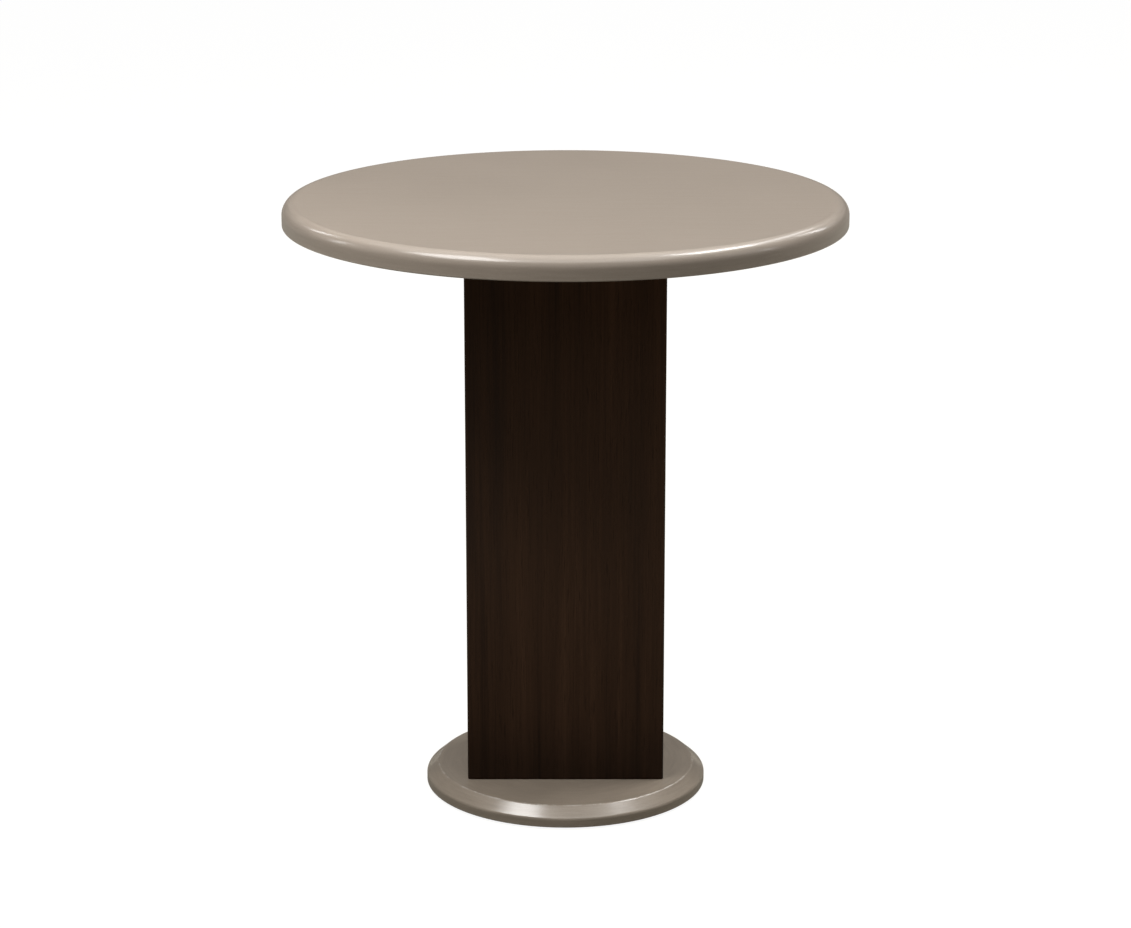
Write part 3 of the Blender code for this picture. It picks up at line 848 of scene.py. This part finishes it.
letInPlate = {
    "corner": 14.0 * mm,
    "easing": 0.4 * mm,
    "screwShank": 2.7 * mm,
    "screwHead": 5.1 * mm,
    "headDepth": 0.3 * mm,
    "pinHole": 4.3 * mm,
    "holeSegments": 48,
}


def buildPlate(look):
    low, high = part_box("top_plate")
    outline = rectOutline(high.x, high.y, look["corner"])
    shape = addPrism(bmesh.new(), outline, low.z, high.z, look["easing"])
    holes = bmesh.new()
    shank, head = look["screwShank"], look["screwHead"]
    coneLow = low.z + look["headDepth"]
    below, above = low.z - cutSpare, high.z + cutSpare
    for node in screwNodes:
        addTurned(holes, [
            (0, above), (shank, above), (shank, coneLow + head - shank),
            (head, coneLow), (head, below), (0, below),
        ], look["holeSegments"], spot=middle(node))
    for node in topPinNodes:
        addPlug(holes, look["pinHole"], below, above, look["holeSegments"], middle(node))
    addFixed("let_in_plate", combine(shape, holes), rolledZinc, "top_plate")


woodScrew = {
    "core": 1.65 * mm,
    "crest": 2.35 * mm,
    "pitch": 1.9 * mm,
    "rootShare": 0.97,        # of the core, so thread and neck overlap
    "neck": 1.2 * mm,
    "pointLength": 4.0 * mm,
    "headRadius": 4.66 * mm,
    "headEdge": 0.14 * mm,
    "recessSpan": 2.5 * mm,
    "recessWidth": 0.55 * mm,
    "recessDepth": 1.9 * mm,
    "recessTaper": 0.4,       # share of the span left at its end
    "recessSpare": 0.2 * mm,
    "headSegments": 48,
    "threadSegments": 24,
}


def screwShape(look, length):
    # countersunk head at height 0 looking down, point up, cross recess
    core, headRadius, headEdge = look["core"], look["headRadius"], look["headEdge"]
    cone = headRadius - core
    neckTop = cone + look["neck"]
    head = addTurned(bmesh.new(), [
        (0, neckTop), (core, neckTop), (core, cone),
        (headRadius, headEdge), (headRadius - headEdge, 0), (0, 0),
    ], look["headSegments"])
    thread = addThread(bmesh.new(), look["crest"], look["crest"] - core * look["rootShare"], look["pitch"],
                       cone + look["neck"] / 2, length, look["threadSegments"], look["pointLength"])
    shape = combine(head, thread, "UNION")
    span, width = look["recessSpan"], look["recessWidth"]
    for turnBy in range(2):
        wing = bmesh.new()
        for height, share in ((-look["recessSpare"], 1.0), (look["recessDepth"], look["recessTaper"])):
            for x in (-span, span):
                for y in (-width, width):
                    wing.verts.new((x * share, y * (0.5 + share / 2), height))
        bmesh.ops.convex_hull(wing, input=wing.verts)
        bmesh.ops.rotate(wing, verts=wing.verts, matrix=Matrix.Rotation(math.pi / 2 * turnBy, 3, "Z"))
        shape = combine(shape, wing)
    return shape


def buildScrews(look):
    low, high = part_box(screwNodes[0])
    data = finishMesh("plate_screw", screwShape(look, high.z - low.z), turnedZinc)
    addFasteners("plate_screw", data, screwNodes, low.z)


dowelPin = {
    "chamfer": 0.8 * mm,
    "endRound": 0.2 * mm,
    "sideRound": 0.3 * mm,
    "roundSteps": 3,
    "segments": 48,
}


def buildPins(look):
    chamfer, endRound, sideRound = look["chamfer"], look["endRound"], look["sideRound"]
    for label, nodes in (("plate_pin", topPinNodes), ("base_pin", basePinNodes)):
        low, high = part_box(nodes[0])
        radius, length = (high.x - low.x) / 2, high.z - low.z
        profile = softCorners([
            (0, length, 0), (radius - chamfer, length, endRound), (radius, length - chamfer, sideRound),
            (radius, chamfer, sideRound), (radius - chamfer, 0, endRound), (0, 0, 0),
        ], look["roundSteps"])
        data = finishMesh(label, addTurned(bmesh.new(), profile, look["segments"]), turnedZinc)
        addFasteners(label + "_steel", data, nodes, low.z)


tieRod = {
    "pitch": 1.75 * mm,
    "threadDepth": 1.0 * mm,
    "threadSegments": 24,
    "threadSharp": 60,      # degrees, above which an edge is sharp
    "lead": 1.2 * mm,
    "nutAcross": 19.0 * mm,
    "nutBore": 6.3 * mm,
    "nutLead": 0.6 * mm,
    "washerEasing": 0.4 * mm,
    "washerSteps": 4,
    "segments": 96,
}


def nutShape(look, length):
    bore, lead = look["nutBore"], look["nutLead"]
    mouth = bore + lead + cutSpare
    hole = addTurned(bmesh.new(), [
        (0, length + cutSpare), (mouth, length + cutSpare), (bore, length - lead),
        (bore, lead), (mouth, -cutSpare), (0, -cutSpare),
    ], look["segments"])
    return combine(hexBody(look["nutAcross"], 0, length), hole)


def buildRod(look):
    low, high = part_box("tie_rod")
    shape = addThread(bmesh.new(), (high.x - low.x) / 2, look["threadDepth"], look["pitch"], 0,
                      high.z - low.z, look["threadSegments"], lead=look["lead"])
    addFixed("threaded_rod", shape, turnedZinc, "tie_rod", (0, 0, low.z), look["threadSharp"])
    for name, node in (("clamp_nut", "tie_rod_nut"), ("coupling_nut", "rod_coupling_nut")):
        low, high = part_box(node)
        addFixed(name, nutShape(look, high.z - low.z), turnedZinc, node, (0, 0, low.z))
    low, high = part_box("tie_rod_washer")
    radius, easing, hole = high.x, look["washerEasing"], look["nutBore"]
    profile = softCorners([
        (hole, high.z, easing), (radius, high.z, easing), (radius, low.z, easing), (hole, low.z, easing),
    ], look["washerSteps"], closed=True)
    shape = addTurned(bmesh.new(), profile, look["segments"], closed=True)
    addFixed("clamp_washer", shape, rolledZinc, "tie_rod_washer")


buildPlate(letInPlate)
buildScrews(woodScrew)
buildPins(dowelPin)
buildRod(tieRod)
print("fittings built")


# levelling glides

glide = {
    "footSegments": 144,
    "footSteps": 6,
    "footLowerRound": 1.2 * mm,
    "footUpperRound": 0.6 * mm,
    "holdGap": 0.15 * mm,
    "flutes": 24,
    "fluteDepth": 0.35 * mm,
    "grooveRadius": 9.2 * mm,
    "grooveWidth": 1.4 * mm,
    "grooveDepth": 0.5 * mm,
    "grooveRound": 0.2 * mm,
    "socketFloor": 2.0 * mm,
    "socketTop": 4.6 * mm,
    "socketRadius": 7.3 * mm,
    "neckRadius": 4.3 * mm,
    "neckRound": 0.3 * mm,
    "nylonColour": (0.019, 0.019, 0.020),
    "nylonScuff": (0.09, 0.09, 0.09),
    "nylonRoughness": 0.52,
    "nylonGrain": 0.03 * mm,
    "studRadius": 4.0 * mm,
    "studPitch": 1.25 * mm,
    "studThreadDepth": 0.7 * mm,
    "studLead": 0.9 * mm,
    "studSegments": 36,
    "studSharp": 40,             # degrees, above which an edge is sharp
    "flangeRadius": 7.0 * mm,
    "flangeThickness": 2.0 * mm,
    "flangeRound": 0.4 * mm,
    "flangeSteps": 3,
    "flangeSegments": 64,
    "collarLow": 4.0 * mm,       # above the flange's underside
    "collarHeight": 3.0 * mm,
    "collarAcross": 13.0 * mm,
    "shankLap": 0.5 * mm,        # shank and thread reach this far into the collar
    "threadLap": 0.6 * mm,
}


def nylonFinish(look):
    material, tree, shader = newFinish("mouldedNylon")
    place = ownPlace(tree)
    grain = noise(tree, place, 2600.0, 3.0, 0.6)
    bloom = noise(tree, place, 120.0, 3.0, 0.6)
    scuffs = useGroup(tree, scuffGroup, {"Density": 0.9, "Fineness": 1500.0})
    colour = shade(tree, opaque(look["nylonColour"]), plus(tree, 0.7, bloom, 0.7))
    colour = tint(tree, times(tree, scuffs["Mask"], 0.5), colour, opaque(look["nylonScuff"]))
    dress(tree, shader, {
        "Base Color": colour,
        "Roughness": plus(tree, look["nylonRoughness"], swing(tree, bloom), 0.2),
        "Normal": bump(tree, grain, look["nylonGrain"]),
    })
    return material


def footShape(look, radius, height):
    groove, half, deep = look["grooveRadius"], look["grooveWidth"] / 2, look["grooveDepth"]
    socket, neck, grooveRound = look["socketRadius"], look["neckRadius"], look["grooveRound"]
    profile = softCorners([
        (0, look["socketFloor"], 0), (socket, look["socketFloor"], 0), (socket, look["socketTop"], 0),
        (neck, look["socketTop"], 0), (neck, height, look["neckRound"]),
        (radius, height, look["footUpperRound"]), (radius, 0, look["footLowerRound"]),
        (groove + half, 0, grooveRound), (groove + half / 2, deep, grooveRound),
        (groove - half / 2, deep, grooveRound), (groove - half, 0, grooveRound), (0, 0, 0),
    ], look["footSteps"])
    shape = addTurned(bmesh.new(), holdFlats(profile, look["holdGap"]), look["footSegments"])
    rim = radius - look["footUpperRound"] / 2
    for vert in shape.verts:
        out = math.hypot(vert.co.x, vert.co.y)
        if out > rim:
            angle = math.atan2(vert.co.y, vert.co.x)
            wave = 0.5 - 0.5 * math.cos(look["flutes"] * angle)
            less = 1 - look["fluteDepth"] * wave * (out - rim) / (radius - rim) / out
            vert.co.x, vert.co.y = vert.co.x * less, vert.co.y * less
    return shape


def studShape(look, height):
    collarLow, collarHigh = look["collarLow"], look["collarLow"] + look["collarHeight"]
    radius, flange, thickness = look["studRadius"], look["flangeRadius"], look["flangeThickness"]
    shankTop, flangeRound = collarLow + look["shankLap"], look["flangeRound"]
    profile = softCorners([
        (0, shankTop, 0), (radius, shankTop, 0), (radius, thickness, 0),
        (flange, thickness, flangeRound), (flange, 0, flangeRound), (0, 0, 0),
    ], look["flangeSteps"])
    shape = addTurned(bmesh.new(), profile, look["flangeSegments"])
    shape = combine(shape, hexBody(look["collarAcross"], collarLow, collarHigh), "UNION")
    thread = addThread(bmesh.new(), radius, look["studThreadDepth"], look["studPitch"],
                       collarHigh - look["threadLap"], height, look["studSegments"], lead=look["studLead"])
    return combine(shape, thread, "UNION")


def buildGlides(look):
    footLow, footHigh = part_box(footNodes[0])
    studLow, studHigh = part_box(studNodes[0])
    foot = footShape(look, (footHigh.x - footLow.x) / 2, footHigh.z - footLow.z)
    foot = finishMesh("glide_foot", foot, nylonFinish(look))
    stud = studShape(look, studHigh.z - studLow.z)
    stud = finishMesh("glide_stud", stud, turnedZinc, look["studSharp"])
    for number, (footNode, studNode) in enumerate(zip(footNodes, studNodes), 1):
        spot = middle(footNode)
        addPiece(f"nylon_foot_{number}", foot, f"foot_{number}",
                 [footNode], (spot.x, spot.y, footLow.z))
        addPiece(f"threaded_stud_{number}", stud, f"stud_{number}",
                 [studNode], (spot.x, spot.y, studLow.z))


buildGlides(glide)
print("glides built")


# plywood end blocks and glue blocks keep their solids

innerWood = {
    "plyLight": (0.60, 0.44, 0.27),
    "plyDark": (0.36, 0.23, 0.12),
    "plyThickness": 1.5 * mm,
    "plyWaver": (30.0, 30.0, 4.0),
    "plyFibre": (12.0, 420.0, 90.0),
    "plyGrain": 0.12 * mm,
    "blockLight": (0.62, 0.48, 0.31),
    "blockMiddle": (0.52, 0.38, 0.23),
    "blockDark": (0.36, 0.25, 0.14),
    "blockBoard": (1.3, 0.6, 2.2),
    "blockPores": 0.35,
    "blockGrain": 0.1 * mm,
    "roughness": 0.68,
}


def plywoodFinish(look):
    material, tree, shader = newFinish("birchPlywood")
    place = ownPlace(tree)
    height = put(tree, "SeparateXYZ", {"Vector": place}).outputs["Z"]
    layer = calc(tree, "DIVIDE", height, 2 * look["plyThickness"])
    layer = plus(tree, layer, noise(tree, stretch(tree, place, look["plyWaver"]), 1.0), 0.5)
    band = remap(tree, calc(tree, "PINGPONG", layer, 0.5), 0.22, 0.28)
    fibre = noise(tree, stretch(tree, place, look["plyFibre"]), 1.0, 4.0, 0.6)
    normal = put(tree, "TexCoord").outputs["Normal"]
    faceUp = put(tree, "SeparateXYZ", {"Vector": normal}).outputs["Z"]
    edgeOnly = calc(tree, "SUBTRACT", 1.0, calc(tree, "ABSOLUTE", faceUp))
    band = times(tree, band, edgeOnly)
    colour = tint(tree, band, opaque(look["plyLight"]), opaque(look["plyDark"]))
    dress(tree, shader, {
        "Base Color": shade(tree, colour, plus(tree, 0.78, fibre, 0.42)),
        "Roughness": plus(tree, look["roughness"], swing(tree, fibre), 0.2),
        "Normal": bump(tree, fibre, look["plyGrain"]),
    })
    return material


def glueBlockFinish(look):
    material, tree, shader = newFinish("poplarBlock")
    grain = useGroup(tree, grainGroup, {
        "Light": opaque(look["blockLight"]), "Middle": opaque(look["blockMiddle"]),
        "Dark": opaque(look["blockDark"]), "Board": look["blockBoard"],
        "Pore Depth": look["blockPores"], "Roughness": look["roughness"],
    })
    dress(tree, shader, {
        "Base Color": grain["Colour"], "Roughness": grain["Roughness"],
        "Normal": bump(tree, grain["Height"], look["blockGrain"]),
    })
    return material


def dressBlocks(look):
    for finish, nodes in (
        (plywoodFinish(look), ["upper_block", "lower_block"]),
        (glueBlockFinish(look), numbered("corner_block_")),
    ):
        for node in nodes:
            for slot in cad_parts[node].material_slots:
                slot.material = finish


dressBlocks(innerWood)
print("inner blocks dressed")


# studio: pale floor, soft boxes overhead, weak low banks all round, small lamps for glints on the edge

studio = {
    "worldColour": (0.030, 0.030, 0.030),
    "worldMirror": 0.05,         # share of white that reflections see above the floor
    "floorSize": 60.0,
    "floorAlbedo": (0.17, 0.155, 0.125),
    "floorSeen": (1.0, 1.0, 1.0),
    "floorImage": (1.0, 0.94, 0.82),   # its colour in reflections, a painted warm reflection
    "glowReach": (0.4, 2.2),     # metres from the middle
    "glowSeen": (0.91, 0.98),    # near and far; the lower glow near the middle is painted shade round the table
    "shadowPoolReach": (0.20, 0.90),
    "shadowPoolSeen": (0.08, 1.0),     # painted shadow: reflections see the floor darker close to the base
    "fadeReach": (1.0, 2.6),
    "fadeSeen": (1.0, 0.30),     # and darker again far off, a painted falloff of light
    # name: place, aimed at, width, length, turned by, level (1 is white)
    "lights": {
        "ceiling": ((0.0, 0.0, 2.70), (0.0, 0.0, 0.0), 3.4, 3.2, 0, 1.36),
        "leftBox": ((-0.84, -0.60, 1.80), (-0.84, -0.60, 0.0), 0.80, 0.78, 0, 10.5),
        "rightBox": ((1.12, 0.31, 2.35), (1.12, 0.31, 0.0), 0.50, 1.00, -28, 17.5),
        "frontStrip": ((0.0, -1.20, 2.40), (0.0, -1.20, 0.0), 2.4, 0.80, 0, 1.4),
        "rightTail": ((1.44, 1.80, 2.35), (1.44, 1.80, 0.0), 0.45, 2.0, -6, 4.0),
        "leftLow": ((-2.20, -0.60, 1.60), (0.0, 0.0, 0.4), 1.0, 1.0, 0, 0.1),
        "rightLow": ((2.20, -0.60, 1.60), (0.0, 0.0, 0.4), 1.0, 1.0, 0, 0.7),
        "frontLow": ((0.0, -2.60, 1.90), (0.0, 0.0, 0.3), 2.6, 0.8, 0, 0.43),
        "rearFill": ((0.0, 2.30, 2.30), (0.0, 0.0, 0.3), 2.4, 0.8, 0, 0.5),
    },
    "glintBeam": 24.0,   # degrees, so they light the edge alone
    "glints": {
        "leftGlintBack": ((-0.96, 0.58, 1.21), (-0.226, -0.154, 0.606), 0.10, 0.30, 0, 12.0),
        "leftGlintFront": ((-1.27, 0.15, 1.05), (-0.211, -0.180, 0.603), 0.13, 0.38, 0, 10.0),
        "rightGlintBack": ((1.00, 0.60, 1.15), (0.234, -0.148, 0.606), 0.12, 0.42, 0, 12.0),
        "rightGlintFront": ((1.34, -0.22, 0.93), (0.187, -0.207, 0.601), 0.13, 0.30, 0, 4.0),
    },
}


def mirroredRay(tree, path):
    return calc(tree, "MAXIMUM", path["Is Glossy Ray"], path["Is Transmission Ray"])


def buildFloor(look):
    material, tree, shader = newFinish("paleFloor")
    tree.nodes.remove(shader)
    away = put(tree, "VectorMath", {0: ownPlace(tree)}, operation="LENGTH").outputs["Value"]
    # painted shade and reflection: the glow dims near the middle, reflections see a shadow pool by the
    # base, a falloff far off, and a warmer floor
    glow = remap(tree, away, *look["glowReach"], *look["glowSeen"])
    shadowPool = remap(tree, away, *look["shadowPoolReach"], *look["shadowPoolSeen"])
    fade = remap(tree, away, *look["fadeReach"], *look["fadeSeen"])
    path = put(tree, "LightPath").outputs
    mirrored = mirroredRay(tree, path)
    image = times(tree, mirrored, times(tree, shadowPool, fade))
    seen = calc(tree, "MAXIMUM", path["Is Camera Ray"], image)
    colour = tint(tree, mirrored, opaque(look["floorSeen"]), opaque(look["floorImage"]))
    bright = put(tree, "Emission", {"Color": colour, "Strength": times(tree, seen, glow)}).outputs[0]
    matt = put(tree, "BsdfDiffuse", {"Color": opaque(look["floorAlbedo"])}).outputs[0]
    both = put(tree, "AddShader", {0: matt, 1: bright}).outputs[0]
    below = put(tree, "NewGeometry").outputs["Backfacing"]
    clear = put(tree, "BsdfTransparent").outputs[0]
    oneSided = put(tree, "MixShader", {0: below, 1: both, 2: clear}).outputs[0]
    tree.links.new(oneSided, tree.nodes["Material Output"].inputs["Surface"])
    half = look["floorSize"] / 2
    shape = bmesh.new()
    corners = ((-half, -half), (half, -half), (half, half), (-half, half))
    shape.faces.new([shape.verts.new((x, y, 0)) for x, y in corners])
    data = bpy.data.meshes.new("floor")
    shape.to_mesh(data)
    shape.free()
    data.materials.append(material)
    floor = bpy.data.objects.new("floor", data)
    scene.collection.objects.link(floor)


def buildLights(look):
    halfBeam = math.radians(look["glintBeam"]) / 2
    beamGain = math.tan(halfBeam) / (math.tan(halfBeam) - halfBeam)   # a narrow beam is this much stronger
    for name, lamp in {**look["lights"], **look["glints"]}.items():
        place, aim, width, length, turnBy, level = lamp
        data = bpy.data.lights.new(name, "AREA")
        data.shape = "RECTANGLE"
        data.size, data.size_y = width, length
        data.energy = level * math.pi * width * length
        if name in look["glints"]:
            data.spread = 2 * halfBeam
            data.energy /= beamGain
        light = bpy.data.objects.new(name, data)
        light.location = place
        aimed = (Vector(aim) - Vector(place)).to_track_quat("-Z", "Y")
        light.rotation_euler = (aimed @ Quaternion((0, 0, 1), math.radians(turnBy))).to_euler()
        light.visible_camera = False
        scene.collection.objects.link(light)


def buildWorld(look):
    world = bpy.data.worlds.new("studio")
    world.use_nodes = True
    tree = world.node_tree
    path = put(tree, "LightPath").outputs
    image = times(tree, mirroredRay(tree, path), look["worldMirror"])
    seen = calc(tree, "MAXIMUM", path["Is Camera Ray"], image)
    colour = tint(tree, seen, opaque(look["worldColour"]), opaque(look["floorSeen"]))
    tree.links.new(colour, tree.nodes["Background"].inputs["Color"])
    scene.world = world


buildFloor(studio)
buildLights(studio)
buildWorld(studio)
print("studio ready")
